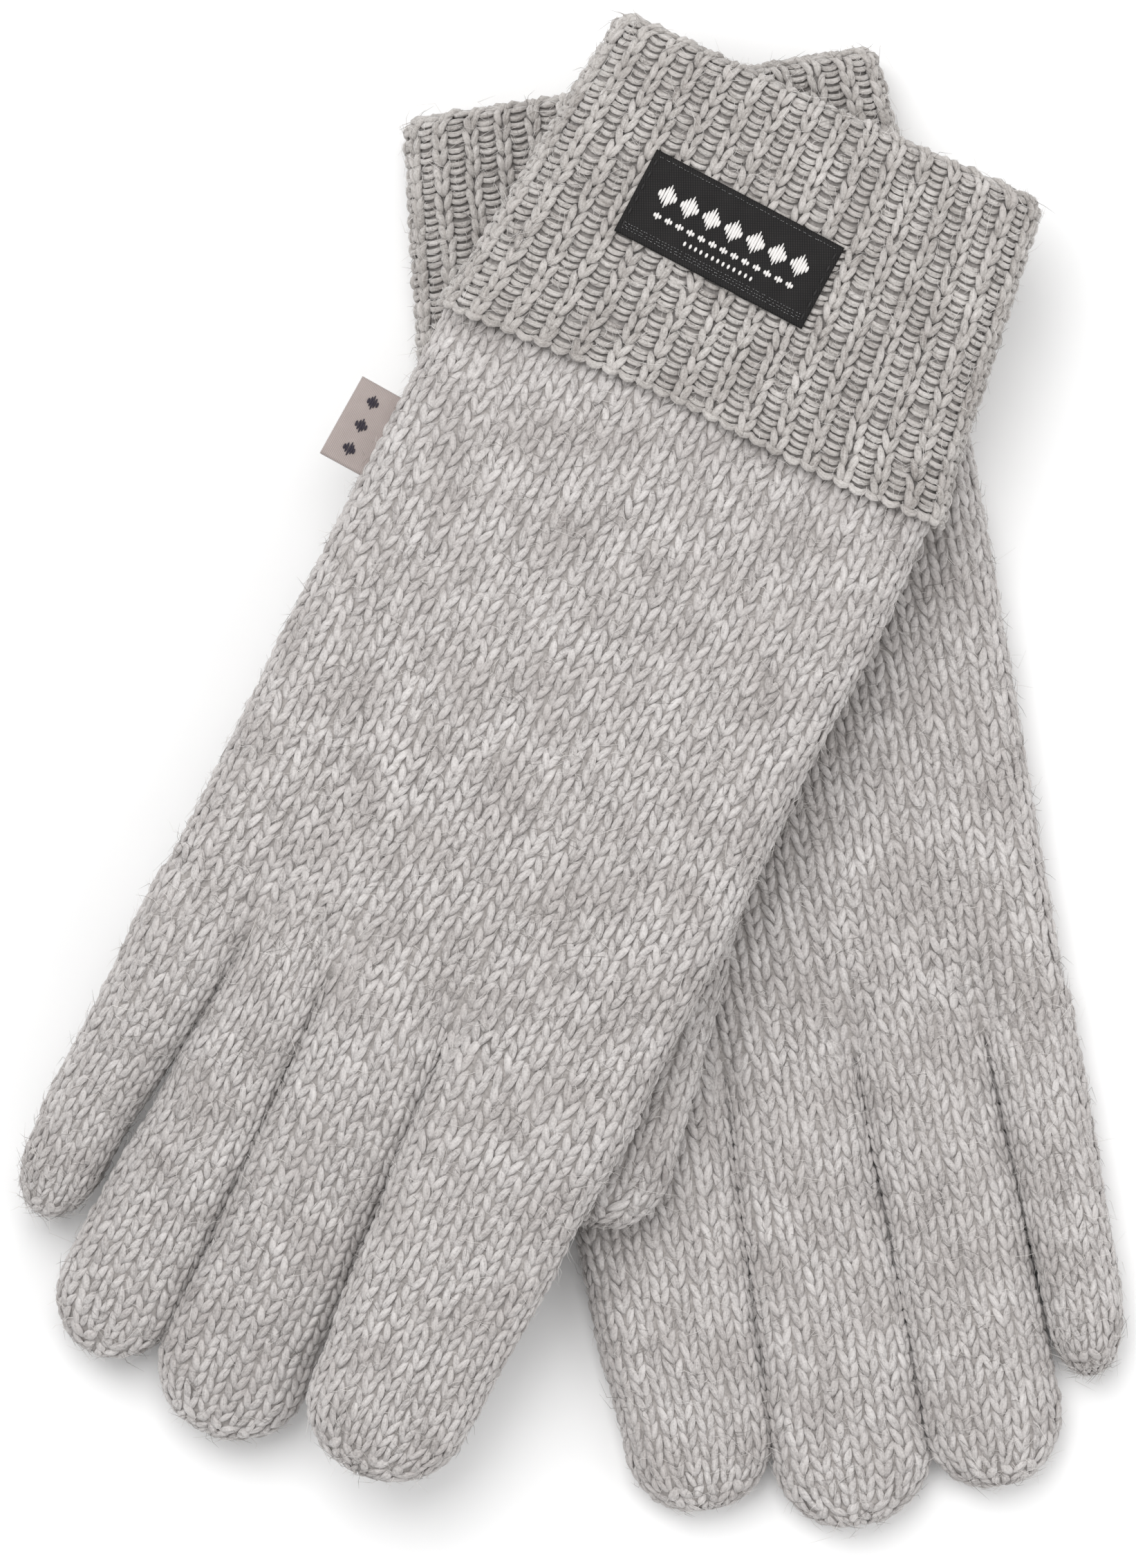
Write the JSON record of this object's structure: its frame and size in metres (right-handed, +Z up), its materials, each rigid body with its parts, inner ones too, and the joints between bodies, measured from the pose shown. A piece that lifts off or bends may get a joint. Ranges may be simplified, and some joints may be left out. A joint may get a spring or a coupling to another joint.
{
  "type": "pair of knitted gloves",
  "caption": "Pair of lined knitted gloves with turned-up ribbed cuffs, lying flat, one across the other, backs up; fingers and thumbs flex and the cuffs unfold.",
  "frame": {"origin": "centre of the pair's footprint, on the surface it lies on", "axes": "+Z up from the surface, +Y from the fingertips towards the cuffs, +X towards the left glove's little finger side"},
  "size_m": [0.1978, 0.2712, 0.0387],
  "materials": {
    "knit_wool": "soft, napped",
    "rib_wool": "soft, ribbed",
    "insulation_web": "matte",
    "lining_fleece": "brushed pile",
    "binding_tape": "matte",
    "label_damask": "woven, semi-matte",
    "label_thread": "twisted",
    "flag_satin": "satin"
  },
  "bodies": {
    "left_hand": {"left_hand_knit": "knit_wool", "left_hand_insulation": "insulation_web", "left_hand_lining": "lining_fleece", "left_wrist_rib": "rib_wool", "left_lining_binding": "binding_tape"},
    "left_index": {"left_index_knit": "knit_wool", "left_index_insulation": "insulation_web", "left_index_lining": "lining_fleece"},
    "left_middle": {"left_middle_knit": "knit_wool", "left_middle_insulation": "insulation_web", "left_middle_lining": "lining_fleece"},
    "left_ring": {"left_ring_knit": "knit_wool", "left_ring_insulation": "insulation_web", "left_ring_lining": "lining_fleece"},
    "left_little": {"left_little_knit": "knit_wool", "left_little_insulation": "insulation_web", "left_little_lining": "lining_fleece"},
    "left_thumb": {"left_thumb_knit": "knit_wool", "left_thumb_insulation": "insulation_web", "left_thumb_lining": "lining_fleece"},
    "left_turnup": {"left_cuff_turnup": "rib_wool"},
    "right_hand": {"right_hand_knit": "knit_wool", "right_hand_insulation": "insulation_web", "right_hand_lining": "lining_fleece", "right_wrist_rib": "rib_wool", "right_lining_binding": "binding_tape"},
    "right_index": {"right_index_knit": "knit_wool", "right_index_insulation": "insulation_web", "right_index_lining": "lining_fleece"},
    "right_middle": {"right_middle_knit": "knit_wool", "right_middle_insulation": "insulation_web", "right_middle_lining": "lining_fleece"},
    "right_ring": {"right_ring_knit": "knit_wool", "right_ring_insulation": "insulation_web", "right_ring_lining": "lining_fleece"},
    "right_little": {"right_little_knit": "knit_wool", "right_little_insulation": "insulation_web", "right_little_lining": "lining_fleece"},
    "right_thumb": {"right_thumb_knit": "knit_wool", "right_thumb_insulation": "insulation_web", "right_thumb_lining": "lining_fleece"},
    "right_turnup": {"right_cuff_turnup": "rib_wool", "right_woven_label": "label_damask", "right_label_stitches": "label_thread"},
    "right_flag": {"right_flag_label": "flag_satin"}
  },
  "joints": [
    {"name": "right_glove_lift", "type": "slide", "parent": "left_hand", "child": "right_hand", "axis": [0, 0, 1], "range_m": [0, 0.15]},
    {"name": "left_index_lift", "type": "hinge", "parent": "left_hand", "child": "left_index", "pos_m": [0.01114, -0.05715, 0.00603], "axis": [-0.9877, -0.1564, 0], "range_deg": [0, 4]},
    {"name": "left_middle_lift", "type": "hinge", "parent": "left_hand", "child": "left_middle", "pos_m": [0.03905, -0.05273, 0.00603], "axis": [-0.9877, -0.1564, 0], "range_deg": [0, 60]},
    {"name": "left_ring_lift", "type": "hinge", "parent": "left_hand", "child": "left_ring", "pos_m": [0.06399, -0.04878, 0.00603], "axis": [-0.9877, -0.1564, 0], "range_deg": [0, 60]},
    {"name": "left_little_lift", "type": "hinge", "parent": "left_hand", "child": "left_little", "pos_m": [0.08343, -0.04691, 0.006], "axis": [-0.9877, -0.1564, 0], "range_deg": [0, 60]},
    {"name": "left_thumb_swing", "type": "hinge", "parent": "left_hand", "child": "left_thumb", "pos_m": [-0.02821, -0.01354, 0.00571], "axis": [-0.0037, 0.0236, -0.9997], "range_deg": [0, 30]},
    {"name": "left_turnup_unfold", "type": "slide", "parent": "left_hand", "child": "left_turnup", "axis": [-0.1564, 0.9874, 0.0239], "range_m": [0, 0.054]},
    {"name": "right_index_lift", "type": "hinge", "parent": "right_hand", "child": "right_index", "pos_m": [-0.00479, -0.05498, 0.03005], "axis": [-0.91, 0.4147, 0], "range_deg": [0, 60]},
    {"name": "right_middle_lift", "type": "hinge", "parent": "right_hand", "child": "right_middle", "pos_m": [-0.0305, -0.04327, 0.03005], "axis": [-0.91, 0.4147, 0], "range_deg": [0, 60]},
    {"name": "right_ring_lift", "type": "hinge", "parent": "right_hand", "child": "right_ring", "pos_m": [-0.05347, -0.0328, 0.03005], "axis": [-0.91, 0.4147, 0], "range_deg": [0, 60]},
    {"name": "right_little_lift", "type": "hinge", "parent": "right_hand", "child": "right_little", "pos_m": [-0.07172, -0.0258, 0.03006], "axis": [-0.91, 0.4147, 0], "range_deg": [0, 60]},
    {"name": "right_thumb_swing", "type": "hinge", "parent": "right_hand", "child": "right_thumb", "pos_m": [0.02014, -0.01293, 0.01826], "axis": [0.0033, 0.0071, 1], "range_deg": [0, 30]},
    {"name": "right_turnup_unfold", "type": "slide", "parent": "right_hand", "child": "right_turnup", "axis": [0.4147, 0.9099, -0.0079], "range_m": [0, 0.054]},
    {"name": "flag_flap", "type": "hinge", "parent": "right_hand", "child": "right_flag", "pos_m": [-0.03544, 0.0603, 0.02932], "axis": [0.4147, 0.9099, -0.0079], "range_deg": [0, 70]}
  ]
}
